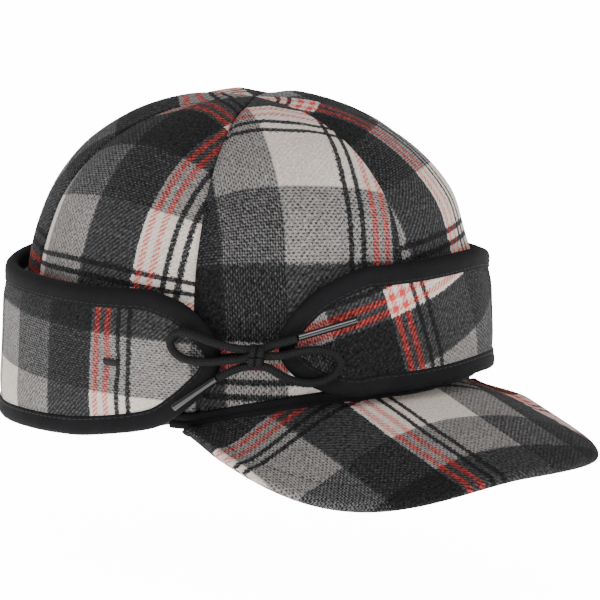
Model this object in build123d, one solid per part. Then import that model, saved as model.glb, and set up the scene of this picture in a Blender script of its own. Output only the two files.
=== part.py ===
"""Six-panel wool cap with a soft visor and a tied, pull-down earband.

Millimetres. The origin is the centre of the head opening in the rim plane.
+Z is up, -Y is the front (visor), +X is the wearer's left.
"""
from build123d import *
from math import atan2, cos, pi, radians, sin, sqrt, tan
import os

# ---- crown ----
CROWN_A = 106.0          # outer semi-axis, front to back
CROWN_B = 88.0           # outer semi-axis, side to side
CROWN_TOP = 135.0
WALL_TOP = 50.0          # the wall leans out to here and is domed above
WALL_LEAN = 3.0          # how much narrower each side is at z = 0
WOOL = 3.0
LINING = 0.8
SWEATBAND = 1.4
SWEATBAND_HEIGHT = 30.0
LAYER_GAP = 0.3
PEAK_HOLE = 0.8          # the panels' points stop at this radius
PANELS = ["front_right", "side_right", "back_right", "back_left", "side_left", "front_left"]

# ---- base line, height against y: flat at the back, arched over the brow ----
BASE_LINE = [(-106.0, 20.0), (-76.0, 14.0), (-43.0, 5.0), (-12.0, 0.0)]
BINDING_OUT = 1.2
BINDING_BELOW = 3.0
BINDING_ABOVE = 5.0
BINDING_END_Y = -42.0    # the brow binding ends beside the temples, under the earband

# ---- visor ----
VISOR_REACH = 71.8       # how far the tip stands ahead of the crown
VISOR_HALF_WIDTH = 87.5
VISOR_SIDE_POWER = 0.86  # fullness of the outline at the sides and at the tip
VISOR_TIP_POWER = 0.65
VISOR_SLOPE = 16.5
VISOR_ARCH = 187.0       # radius of the side-to-side arch
VISOR_CENTRE_Z = 19.3    # height of the arch over the brow
VISOR_CORNER_Y = -56.8
VISOR_CORNER_DROP = 7.0  # near its corners the edge falls to the base line
VISOR_CORNER_TUCK = 6.2  # and draws in to the crown
VISOR_CORNER_SPAN = 30.0
VISOR_ROOT_ANGLE = 60.0
VISOR_ROOT_BELOW = 0.6   # the root lies this far below the base line
VISOR_SECTIONS = 12      # loft sections each side of the middle
BOARD_INSET = 2.0        # the covers meet outside the board's edge
TOP_COVER = 1.2
BOARD = 1.8
UNDER_COVER = 1.0
VISOR_GAP = 0.1
ROOT_GAP = 0.3

# ---- earband ----
BAND_A_LOW = 118.5       # outer semi-axis at z = 0, front to back
BAND_A_HIGH = 114.4      # and at BAND_REF_Z
BAND_REF_Z = 70.0
BAND_RATIO = 0.847       # side-to-side semi-axis over front-to-back
BAND_SHIFT = 3.0         # the band's centre is this far behind the crown's
BAND_WOOL = 2.4
BAND_LINING = 2.0
TRIM = 0.5
TRIM_WIDTH = 8.0
BAND_TOP = [(-112.0, 77.0), (-70.0, 68.5), (-20.0, 64.0), (40.0, 61.5), (100.0, 58.5)]
BAND_BOTTOM = [(-112.0, 23.5), (-78.0, 18.0), (-62.0, 16.2), (-52.0, 10.5), (-43.0, 5.5), (-12.0, 0.0),
               (40.0, -5.0), (100.0, -9.0)]
SEAM_GAP = 0.15

# ---- bow ----
BOW_ANGLE = 44.0         # ellipse parameter of the bow, from the front to the wearer's right
CORD = 3.6
AGLET = 3.2
KNOT = (8.5, 9.0, 7.5)   # across, up, out
KNOT_CENTRE = (4.2, 41.6, 2.6)
LOBE_BACK = [(-60, 69), (-48, 65.3), (-38, 63.6), (-30, 61), (-22, 55.5), (-15.5, 48), (-12.4, 40),
             (-14, 31.5), (-20, 24), (-31, 14), (-44, 6.5), (-56, -1)]
LOBE_FRONT = [(64, 82), (50, 77), (40, 73.5), (31, 69), (24, 63.5), (17.5, 56.5), (13, 48),
              (13.5, 40), (18, 34), (24, 29.5), (32, 25.5), (44, 22.5), (58, 18)]
# cord routes in the bow's own plane: (towards the front, up, out from the band)
LEAD_BACK = [(-11.6, 39.4, -2.2), (-6, 40.2, -1.7), (-0.4, 40.6, -0.9)]
LEAD_FRONT = [(12.1, 45.8, -2.2), (10.5, 45.4, -2.0), (8.8, 44.4, -1.6)]
LOOP_BACK = [(-0.4, 44.2, 3.2), (-7, 45.2, 3.9), (-15.5, 47.2, 3.5), (-24, 50.2, 2.0), (-30.5, 50.8, 0.2),
             (-34.2, 46.6, -1.2), (-32, 40.8, -1.0), (-25, 38.2, 0.8), (-16, 38.3, 2.8), (-7.5, 39.7, 3.8),
             (-0.4, 40.2, 3.2)]
LOOP_FRONT = [(8.8, 41.9, 3.2), (15, 42.0, 3.6), (23, 44.4, 2.6), (31, 44.9, 0.2), (37.5, 42.4, -2.4),
              (39.4, 37.0, -3.2), (35, 31.8, -2.0), (27.5, 29.8, 0.4), (19.5, 31.2, 2.4), (13, 34.6, 3.4),
              (8.8, 37.4, 3.2)]
TAIL_BACK = [(-0.5, 36.9, 1.6), (-4, 35.9, 2.2), (-8, 34.2, 2.8), (-12.5, 31.6, 2.9)]
TAIL_FRONT = [(8.8, 45.9, 1.9), (12.5, 47.0, 2.7), (16.5, 48.2, 3.0), (21.5, 49.8, 2.6)]
AGLET_BACK_START = (-12.8, 31.4, 3.0)
AGLET_BACK_END = (-32.0, 17.6, -0.2)
AGLET_FRONT_START = (21.8, 49.9, 2.5)
AGLET_FRONT_END = (45.8, 56.6, -5.4)
BAR_TACK = (7.5, 2.6, 1.0)
BAR_TACK_ANGLE = 77.0
BAR_TACK_Z = 33.0
BAR_TACK_OUT = 0.9

# ---- names that several parts share ----
FAR = 140.0
SEAM_ANGLES = [0, 60, 120, 180, 240, 300, 360]


def dome(inset):
    """The solid inside the crown's outer surface, moved in by inset."""
    a = CROWN_A - inset
    b = CROWN_B - inset
    top = CROWN_TOP - inset
    rise = top - WALL_TOP
    foot = a - WALL_LEAN * (WALL_TOP + 20) / WALL_TOP
    with BuildSketch(Plane.XZ) as half:
        with BuildLine():
            Line((0, -20), (foot, -20))
            Line((foot, -20), (a, WALL_TOP))
            EllipticalCenterArc((0, WALL_TOP), a, rise, start_angle=0, arc_size=90)
            Line((0, top), (0, -20))
        make_face()
    return scale(revolve(half.sketch, Axis.Z, 360), by=(b / a, 1, 1))


def above(curve, lift):
    """Everything above a curve of z against y that runs from the front to the back."""
    points = [(y, z + lift) for y, z in curve]
    front = (-FAR - 60, points[0][1])
    back = (FAR, points[-1][1])
    with BuildSketch(Plane.YZ) as side:
        with BuildLine():
            Line(front, points[0])
            Spline(*points, tangents=[(1, 0), (1, 0)])
            Line(points[-1], back)
            Line(back, (FAR, FAR + 20))
            Line((FAR, FAR + 20), (front[0], FAR + 20))
            Line((front[0], FAR + 20), front)
        make_face()
    return extrude(side.sketch, FAR, both=True)


def compass(angle):
    """Unit-ellipse direction of a seam: 0 is the front, 90 the wearer's right."""
    return (-sin(radians(angle)), -cos(radians(angle)))


def wedge(first, last, a, b):
    """The upright wedge between two seam angles of an ellipse."""
    reach = 3
    corners = [(0, 0)]
    for angle in (first, (first + last) / 2, last):
        x, y = compass(angle)
        corners.append((x * b * reach, y * a * reach))
    flat = make_face(Polyline(*corners, close=True))
    return Pos(0, 0, -30) * extrude(flat, 200, dir=(0, 0, 1))


def crown_panels():
    wool = (dome(0) - dome(WOOL)) & above(BASE_LINE, 0)
    lining_out = WOOL + LAYER_GAP
    lining = (dome(lining_out) - dome(lining_out + LINING)) & above(BASE_LINE, 1)
    hole = Cylinder(PEAK_HOLE, 400)
    wool = wool - hole
    lining = lining - hole
    for index, name in enumerate(PANELS):
        slice_ = wedge(SEAM_ANGLES[index], SEAM_ANGLES[index + 1], CROWN_A, CROWN_B)
        save(wool & slice_, "crown_panel_" + name)
        save(lining & slice_, "lining_panel_" + name)


def sweatband():
    out = WOOL + 2 * LAYER_GAP + LINING
    ring = (dome(out) - dome(out + SWEATBAND)) & above(BASE_LINE, 1)
    save(ring - above(BASE_LINE, 1 + SWEATBAND_HEIGHT), "sweatband")


def base_binding():
    ring = (dome(-BINDING_OUT) - dome(-0.05)) & above(BASE_LINE, -BINDING_BELOW)
    ring -= above(BASE_LINE, BINDING_ABOVE)
    front = Pos(0, BINDING_END_Y - FAR, FAR) * Box(2 * FAR, 2 * FAR, 2 * FAR)
    save(ring & front, "crown_base_binding")


def line_height(points, y):
    """Height of a base line at y, smooth between its points."""
    slopes = [0.0]
    for before, after in zip(points[:-2], points[2:]):
        slopes.append((after[1] - before[1]) / (after[0] - before[0]))
    slopes.append(0.0)
    index = 0
    while index < len(points) - 2 and y > points[index + 1][0]:
        index += 1
    (y0, z0), (y1, z1) = points[index], points[index + 1]
    step = y1 - y0
    t = min(max((y - y0) / step, 0.0), 1.0)
    start = (2 * t**3 - 3 * t**2 + 1) * z0 + (t**3 - 2 * t**2 + t) * step * slopes[index]
    end = (3 * t**2 - 2 * t**3) * z1 + (t**3 - t**2) * step * slopes[index + 1]
    return start + end


def visor_root(q):
    """A point of the visor's root, on the brow binding: q runs from -1 to 1 round the brow."""
    turn = VISOR_ROOT_ANGLE * q
    base = line_height(BASE_LINE, -CROWN_A * cos(radians(turn)))
    out = BINDING_OUT + ROOT_GAP - WALL_LEAN * (WALL_TOP - base) / WALL_TOP
    x, y = compass(turn)
    return Vector(x * (CROWN_B + out), y * (CROWN_A + out), base - VISOR_ROOT_BELOW)


def visor_edge(q, root, inset):
    """A point of the visor's free edge, moved in by inset towards its point of the root."""
    turn = radians(90 * q)
    side = -1 if q > 0 else 1
    x = side * VISOR_HALF_WIDTH * abs(sin(turn)) ** VISOR_SIDE_POWER
    length = CROWN_A + VISOR_CORNER_Y + VISOR_REACH
    y = VISOR_CORNER_Y - length * abs(cos(turn)) ** VISOR_TIP_POWER
    slope = radians(VISOR_SLOPE)
    arch = VISOR_ARCH - sqrt(VISOR_ARCH**2 - x**2)
    z = VISOR_CENTRE_Z + (CROWN_A + y) * tan(slope) - arch / cos(slope)
    near = max((y - VISOR_CORNER_Y + VISOR_CORNER_SPAN) / VISOR_CORNER_SPAN, 0)
    ease = near * near * (3 - 2 * near)
    edge = Vector(x - side * VISOR_CORNER_TUCK * ease, y, z - VISOR_CORNER_DROP * ease)
    return edge + (root - edge).normalized() * inset


def visor_layer(depth, thick, inset):
    """One layer of the visor: its top lies depth below the visor's top surface."""
    drop = Vector(0, 0, -1 / cos(radians(VISOR_SLOPE)))
    sections = []
    for step in range(-VISOR_SECTIONS, VISOR_SECTIONS + 1):
        q = (1 if step > 0 else -1) * abs(step / VISOR_SECTIONS) ** 0.8
        root = visor_root(q)
        edge = visor_edge(q, root, inset)
        top = drop * depth
        low = drop * (depth + thick)
        sections.append(make_face(Polyline(root + top, edge + top, edge + low, root + low, close=True)))
    return loft(sections)


def visor():
    board_depth = TOP_COVER + VISOR_GAP
    under_depth = board_depth + BOARD + VISOR_GAP
    save(visor_layer(0, TOP_COVER, 0), "visor_top_cover")
    save(visor_layer(board_depth, BOARD, BOARD_INSET), "visor_board")
    save(visor_layer(under_depth, UNDER_COVER, 0), "visor_under_cover")


def band_cone(inset):
    """The solid inside the earband's outer surface, moved in by inset."""
    low = -20.0
    high = 100.0
    lean = (BAND_A_HIGH - BAND_A_LOW) / BAND_REF_Z
    r_low = BAND_A_LOW + lean * low - inset
    r_high = BAND_A_LOW + lean * high - inset
    ratio = (BAND_RATIO * BAND_A_LOW - inset) / (BAND_A_LOW - inset)
    cone = Pos(0, 0, (low + high) / 2) * Cone(r_low, r_high, high - low)
    return Pos(0, BAND_SHIFT, 0) * scale(cone, by=(ratio, 1, 1))


def bow_plane():
    """The plane that touches the band at the bow: x to the front, y up, z outwards."""
    a = BAND_A_LOW - 2.3
    b = a * BAND_RATIO
    x, y = compass(BOW_ANGLE)
    normal = Vector(x / b, y / a, 0).normalized()
    ahead = Vector(-normal.Y, normal.X, 0)
    return Plane(origin=(x * b, y * a + BAND_SHIFT, 0), x_dir=ahead, z_dir=normal)


def moved(points, grow):
    """Shift a lobe's outline sideways by grow, along its own normals."""
    shifted = []
    for index, (x, z) in enumerate(points):
        before = points[max(index - 1, 0)]
        after = points[min(index + 1, len(points) - 1)]
        turn = atan2(after[1] - before[1], after[0] - before[0])
        shifted.append((x - grow * sin(turn), z + grow * cos(turn)))
    return shifted


def bow_gap(grow):
    """The space between the two lobes; grow moves both lobes' edges back."""
    back = moved(LOBE_BACK, -grow)
    front = moved(LOBE_FRONT, grow)
    outline = [Spline(*back), Line(back[-1], front[-1]), Spline(*reversed(front)), Line(front[0], back[0])]
    return extrude(bow_plane() * make_face(outline), 60, both=True)


def band_region(inset):
    """The band's area seen from outside, its edges moved in by inset."""
    area = above(BAND_BOTTOM, inset) - above(BAND_TOP, -inset)
    return area - bow_gap(inset)


def earband():
    thick = BAND_WOOL + BAND_LINING
    wool = band_cone(0) - band_cone(BAND_WOOL)
    lining = band_cone(BAND_WOOL) - band_cone(thick)
    slab_area = band_region(TRIM)
    wool = wool & slab_area
    lining = lining & slab_area
    half = FAR * 2
    seam = Pos(0, half / 2, 0) * Box(2 * SEAM_GAP, half, 300)
    gap_side = wedge(BOW_ANGLE, 180, BAND_A_LOW, CROWN_B)
    back_lobe = (wool - seam) & gap_side
    front_lobe = (wool - seam) - gap_side
    save(back_lobe, "earband_outer_right")
    save(front_lobe, "earband_outer_left")
    save((lining - seam) & gap_side, "earband_lining_right")
    save((lining - seam) - gap_side, "earband_lining_left")
    border = band_region(0) - band_region(TRIM_WIDTH)
    channel = (band_cone(-TRIM) - band_cone(thick + TRIM)) & border
    slab = (band_cone(0) - band_cone(thick)) & slab_area
    save(channel - slab, "earband_binding")


def tube(points, thickness):
    """A cord's tube: straight runs joined by the largest tangent arcs."""
    plane = bow_plane()
    spots = [plane.from_local_coords(point) for point in points]
    runs = [(spots[i + 1] - spots[i]).length for i in range(len(spots) - 1)]
    radii = []
    for i in range(1, len(spots) - 1):
        turn = radians((spots[i] - spots[i - 1]).get_angle(spots[i + 1] - spots[i]))
        radii.append(0.45 * min(runs[i - 1], runs[i]) / tan(turn / 2))
    path = FilletPolyline(*spots, radius=radii)
    start = Plane(origin=path @ 0, z_dir=path % 0)
    solid = sweep(start * Circle(thickness / 2), path=path)
    section = pi * thickness ** 2 / 4
    print("cord", round(path.length, 1), "mm, radii", [round(r, 1) for r in radii],
          "volume over section times length", round(solid.volume / (section * path.length), 4))
    return solid


def stick(start, end, thickness):
    """An aglet: a straight rod with rounded rims."""
    plane = bow_plane()
    first = plane.from_local_coords(start)
    last = plane.from_local_coords(end)
    rod = extrude(Plane(origin=first, z_dir=last - first) * Circle(thickness / 2), (last - first).length)
    return fillet(rod.edges(), 0.5)


def bow():
    plane = bow_plane()
    block = Pos(*KNOT_CENTRE) * Box(*KNOT)
    save(plane * fillet(block.edges(), 2.2), "tie_knot")
    for name, route in (("tie_lead_back", LEAD_BACK), ("tie_lead_front", LEAD_FRONT),
                        ("tie_loop_back", LOOP_BACK), ("tie_loop_front", LOOP_FRONT),
                        ("tie_tail_back", TAIL_BACK), ("tie_tail_front", TAIL_FRONT)):
        save(tube(route, CORD), name)
    save(stick(AGLET_BACK_START, AGLET_BACK_END, AGLET), "aglet_back")
    save(stick(AGLET_FRONT_START, AGLET_FRONT_END, AGLET), "aglet_front")


def bar_tack():
    x, y = compass(BAR_TACK_ANGLE)
    lean = (BAND_A_HIGH - BAND_A_LOW) / BAND_REF_Z
    a = BAND_A_LOW + lean * BAR_TACK_Z
    b = a * BAND_RATIO
    normal = Vector(x / b, y / a, 0).normalized()
    spot = Plane(origin=(x * b, y * a + BAND_SHIFT, BAR_TACK_Z), x_dir=Vector(-normal.Y, normal.X, 0),
                 z_dir=normal)
    save(spot * (Pos(0, 0, BAR_TACK_OUT) * Box(*BAR_TACK)), "bar_tack")


def save(shape, name):
    solids = shape.solids() if hasattr(shape, "solids") else ShapeList(shape).solids()
    keep = [solid for solid in solids if solid.volume > 1.0]
    export_step(keep[0] if len(keep) == 1 else Compound(children=keep), "parts/" + name + ".step")
    print(name, len(keep), round(sum(s.volume for s in keep)))


os.makedirs("parts", exist_ok=True)
crown_panels()
sweatband()
base_binding()
visor()
earband()
bow()
bar_tack()
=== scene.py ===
import math

import bmesh
import bpy
import numpy as np
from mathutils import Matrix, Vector


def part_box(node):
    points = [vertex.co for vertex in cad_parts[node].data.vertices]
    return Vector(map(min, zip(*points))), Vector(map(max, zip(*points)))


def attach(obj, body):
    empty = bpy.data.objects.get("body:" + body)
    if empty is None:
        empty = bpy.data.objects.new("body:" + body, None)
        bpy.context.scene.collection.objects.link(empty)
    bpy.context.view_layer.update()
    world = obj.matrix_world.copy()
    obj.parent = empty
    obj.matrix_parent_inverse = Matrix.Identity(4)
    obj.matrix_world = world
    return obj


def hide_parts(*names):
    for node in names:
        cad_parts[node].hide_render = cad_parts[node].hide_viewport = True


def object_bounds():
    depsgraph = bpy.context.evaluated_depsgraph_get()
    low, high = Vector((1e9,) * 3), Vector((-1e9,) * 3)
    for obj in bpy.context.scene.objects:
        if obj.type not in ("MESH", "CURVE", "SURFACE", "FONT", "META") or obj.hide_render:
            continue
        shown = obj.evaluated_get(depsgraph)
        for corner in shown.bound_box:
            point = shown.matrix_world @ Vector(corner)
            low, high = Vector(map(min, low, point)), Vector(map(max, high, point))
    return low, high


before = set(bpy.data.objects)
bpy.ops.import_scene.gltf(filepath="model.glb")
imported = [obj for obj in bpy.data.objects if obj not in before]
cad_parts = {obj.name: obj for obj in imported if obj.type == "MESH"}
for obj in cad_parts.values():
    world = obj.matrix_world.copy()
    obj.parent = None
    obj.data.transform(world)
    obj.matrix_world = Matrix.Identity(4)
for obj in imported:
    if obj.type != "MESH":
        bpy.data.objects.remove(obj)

MM = 0.001
CAD_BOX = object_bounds()

# ---- sizes: from the frame where it has them, else the design's own, in metres ----
CROWN_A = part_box("crown_panel_back_left")[1][1]
CROWN_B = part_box("crown_panel_side_left")[1][0]
CROWN_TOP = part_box("crown_panel_back_left")[1][2]
WALL_TOP = 50 * MM
WALL_LEAN = 3 * MM
WOOL = 3 * MM
LINING_DEPTH = 3.5 * MM
PEAK_END = 0.9996  # how much of the quarter turn from wall to peak a panel runs
CROWN_FULLNESS = 2.22  # 2 is an elliptical dome; more is fuller at the shoulder
CROWN_FORWARD = 3 * MM
FULL_FROM = 0.25  # the share of the dome's rise where the fullness starts, above the earband
FULL_OVER = 0.3
PANEL_PUFF = 2.0 * MM
SEAM_DIP = 1.5 * MM
SEAM_WIDTH = 1.7 * MM
SWEATBAND_DEPTH = 4.6 * MM
SWEATBAND_HEIGHT = 30 * MM
BASE_LINE = [(-106, 20), (-76, 14), (-43, 5), (-12, 0)]
BAND_BOTTOM = [(-112, 23.5), (-78, 18), (-62, 16.2), (-52, 10.5), (-43, 5.5), (-12, 0), (40, -5), (100, -9)]
BAND_TOP = [(-112, 77), (-70, 68.5), (-20, 64), (40, 61.5), (100, 58.5)]

VISOR_TIP = -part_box("visor_top_cover")[0][1]
VISOR_HALF_WIDTH = 87.5 * MM
VISOR_SIDE_POWER = 0.86
VISOR_TIP_POWER = 0.65
VISOR_SLOPE = math.radians(16.5)
VISOR_ARCH = 187 * MM
VISOR_CENTRE_Z = 19.3 * MM
VISOR_CORNER_Y = -56.8 * MM
VISOR_CORNER_DROP = 3 * MM
VISOR_SAG = (4.0 * MM, -1.6 * MM)  # on the wearer's right and left
VISOR_CORNER_TUCK = 6.2 * MM
VISOR_CORNER_SPAN = 30 * MM
VISOR_ROOT_ANGLE = 60.0
VISOR_ROOT_OUT = 1.5 * MM
VISOR_ROOT_BELOW = 0.6 * MM
VISOR_THICK = 4.2 * MM
VISOR_STITCH = 12 * MM
VISOR_BULGE = 3 * MM
BINDING_END_Y = -42 * MM
BINDING_LINE = [(-106, 20), (-76, 14), (-62, 10.2), (-52, 8.0), (-40, 7.6)]
RIM_TUCK = 2.6 * MM
RIM_TUCK_Y = -58 * MM

BAND_A = 118.5 * MM
BAND_LEAN = -4.1 / 70
BAND_RATIO = 0.847
BAND_SHIFT = 3 * MM
TRIM_WIDTH = 8 * MM
BOW_ANGLE = 44.0
BOW_DEPTH = 2.3 * MM
TACK_ANGLE = 77.0
TACK_Z = 33 * MM

LOBE_BACK = [(-60, 69), (-48, 65.3), (-38, 63.6), (-30, 61), (-22, 55.5), (-15.5, 48), (-12.4, 40),
             (-14, 31.5), (-20, 24), (-31, 14), (-44, 6.5), (-56, -1)]
LOBE_FRONT = [(64, 82), (50, 77), (40, 73.5), (31, 69), (24, 63.5), (17.5, 56.5), (13, 48),
              (13.5, 40), (18, 34), (24, 29.5), (32, 25.5), (44, 22.5), (58, 18)]
TIP = 6  # the place of the lobe's tip in each list
LEAD_BACK = [(-11.6, 39.4, -2.2), (-6, 40.2, -1.7), (-0.4, 40.6, -0.9)]
LEAD_FRONT = [(12.1, 45.8, -2.2), (10.5, 45.4, -2.0), (8.8, 44.4, -1.6)]
LOOP_BACK = [(-0.4, 44.2, 3.2), (-7, 45.2, 3.9), (-15.5, 47.2, 3.5), (-24, 50.2, 2.0), (-30.5, 50.8, 0.2),
             (-34.2, 46.6, -1.2), (-32, 40.8, -1.0), (-25, 38.2, 0.8), (-16, 38.3, 2.8), (-7.5, 39.7, 3.8),
             (-0.4, 40.2, 3.2)]
LOOP_FRONT = [(8.8, 41.9, 3.2), (15, 42.0, 3.6), (23, 44.4, 2.6), (31, 44.9, 0.2), (37.5, 42.4, -2.4),
              (39.4, 37.0, -3.2), (35, 31.8, -2.0), (27.5, 29.8, 0.4), (19.5, 31.2, 2.4), (13, 34.6, 3.4),
              (8.8, 37.4, 3.2)]
TAIL_BACK = [(-0.5, 36.9, 1.6), (-4, 35.9, 2.2), (-8, 34.2, 2.8), (-12.5, 31.6, 2.9)]
TAIL_FRONT = [(8.8, 45.9, 1.9), (12.5, 47.0, 2.7), (16.5, 48.2, 3.0), (21.5, 49.8, 2.6)]
CORD = 3.6 * MM
BRAID_PITCH = 1.25 * MM
BRAID_STARTS = 4.0
KNOT_CENTRE = (4.2, 41.6, 2.6)

PANELS = [("front_right", 0, 60), ("side_right", 60, 120), ("back_right", 120, 180),
          ("back_left", 180, 240), ("side_left", 240, 300), ("front_left", 300, 360)]
REPEAT = 108 * MM
# where the plaid starts on each piece, as (start across, start up, stretch across, stretch up), in mm
PLAID = {
    "front_right": (18.2, 123.4, -1.06, -0.85),
    "side_right": (64.0, -77.4, 0.88, 1.05),
    "back_right": (30.0, -80.0, 1.0, 1.0),
    "back_left": (84.0, -84.0, 1.0, 1.0),
    "side_left": (20.0, 118.0, -1.0, -1.0),
    "front_left": (96.5, -91.6, 1.0, 1.05),
    "earband_right": (160.5, 4.9, 1.0, 1.14),
    "earband_left": (20.5, 22.5, 1.05, 1.1),
    "visor": (116.6, 0.0, 1.05, 1.0),
}


# ---------------------------------------------------------------- curves and grids
def smooth_step(x):
    x = np.clip(x, 0, 1)
    return x * x * (3 - 2 * x)


def height(curve, y):
    """A base or top line: height in metres at y, smooth between its points."""
    ys = np.array([point[0] for point in curve]) * MM
    zs = np.array([point[1] for point in curve]) * MM
    slopes = np.gradient(zs, ys)
    slopes[0] = 0
    slopes[-1] = 0
    y = np.clip(y, ys[0], ys[-1])
    index = np.clip(np.searchsorted(ys, y) - 1, 0, len(ys) - 2)
    step = ys[index + 1] - ys[index]
    t = (y - ys[index]) / step
    return ((2 * t**3 - 3 * t**2 + 1) * zs[index] + (t**3 - 2 * t**2 + t) * step * slopes[index]
            + (3 * t**2 - 2 * t**3) * zs[index + 1] + (t**3 - t**2) * step * slopes[index + 1])


def through(points, count):
    """A smooth line through the points (centripetal Catmull-Rom), evenly resampled."""
    p = np.array(points, float)
    p = np.vstack([2 * p[0] - p[1], p, 2 * p[-1] - p[-2]])
    line = []
    for i in range(1, len(p) - 2):
        t = np.linspace(0, 1, 24, endpoint=False)[:, None]
        a, b, c, d = p[i - 1], p[i], p[i + 1], p[i + 2]
        line.append(0.5 * (2 * b + (c - a) * t + (2 * a - 5 * b + 4 * c - d) * t**2
                           + (3 * b - a - 3 * c + d) * t**3))
    line = np.vstack(line + [p[-2][None]])
    return resample(line, count)


def resample(line, count):
    steps = np.linalg.norm(np.diff(line, axis=0), axis=1)
    along = np.concatenate([[0], np.cumsum(steps)])
    even = np.linspace(0, along[-1], count)
    return np.stack([np.interp(even, along, line[:, k]) for k in range(line.shape[1])], axis=1)


def grid_normals(grid):
    du = np.gradient(grid, axis=0)
    dv = np.gradient(grid, axis=1)
    n = np.cross(du, dv)
    return n / np.maximum(np.linalg.norm(n, axis=2, keepdims=True), 1e-12)


def grid_faces(rows, cols, start=0, flip=False, wrap_rows=False, wrap_cols=False):
    faces = []
    for i in range(rows if wrap_rows else rows - 1):
        for j in range(cols if wrap_cols else cols - 1):
            a = start + i * cols + j
            b = start + ((i + 1) % rows) * cols + j
            c = start + ((i + 1) % rows) * cols + (j + 1) % cols
            d = start + i * cols + (j + 1) % cols
            faces.append((d, c, b, a) if flip else (a, b, c, d))
    return faces


def shell_mesh(outer, inner):
    """Vertices and faces of a closed sheet between two grids of the same size."""
    rows, cols = outer.shape[:2]
    count = rows * cols
    verts = np.vstack([outer.reshape(-1, 3), inner.reshape(-1, 3)])
    faces = grid_faces(rows, cols) + grid_faces(rows, cols, count, True)
    rim = [(i, 0) for i in range(rows)] + [(rows - 1, j) for j in range(1, cols)]
    rim += [(i, cols - 1) for i in range(rows - 2, -1, -1)] + [(0, j) for j in range(cols - 2, 0, -1)]
    ids = [i * cols + j for i, j in rim]
    for k, a in enumerate(ids):
        b = ids[(k + 1) % len(ids)]
        faces.append((a, a + count, b + count, b))
    return verts, faces


def add_mesh(name, verts, faces, material, body, replaced=(), cloth=None):
    mesh = bpy.data.meshes.new(name)
    mesh.from_pydata([tuple(v) for v in verts], [], faces)
    mesh.validate()
    mesh.update()
    mesh.polygons.foreach_set("use_smooth", [True] * len(mesh.polygons))
    if cloth is not None:
        layer = mesh.attributes.new("cloth", "FLOAT_VECTOR", "POINT")
        flat = np.zeros((len(verts), 3))
        flat[:, :2] = cloth
        layer.data.foreach_set("vector", flat.ravel())
    obj = bpy.data.objects.new(name, mesh)
    bpy.context.scene.collection.objects.link(obj)
    obj.data.materials.append(material)
    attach(obj, body)
    if replaced:
        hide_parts(*replaced)
    return obj


def fix_normals(obj):
    """Faces turned outwards all over a closed piece."""
    mesh = bmesh.new()
    mesh.from_mesh(obj.data)
    bmesh.ops.recalc_face_normals(mesh, faces=mesh.faces)
    mesh.to_mesh(obj.data)
    mesh.free()


def plaid_coords(piece, across, up):
    start_u, start_v, stretch_u, stretch_v = PLAID[piece]
    return np.stack([stretch_u * across + start_u * MM, stretch_v * up + start_v * MM], axis=-1)


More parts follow.
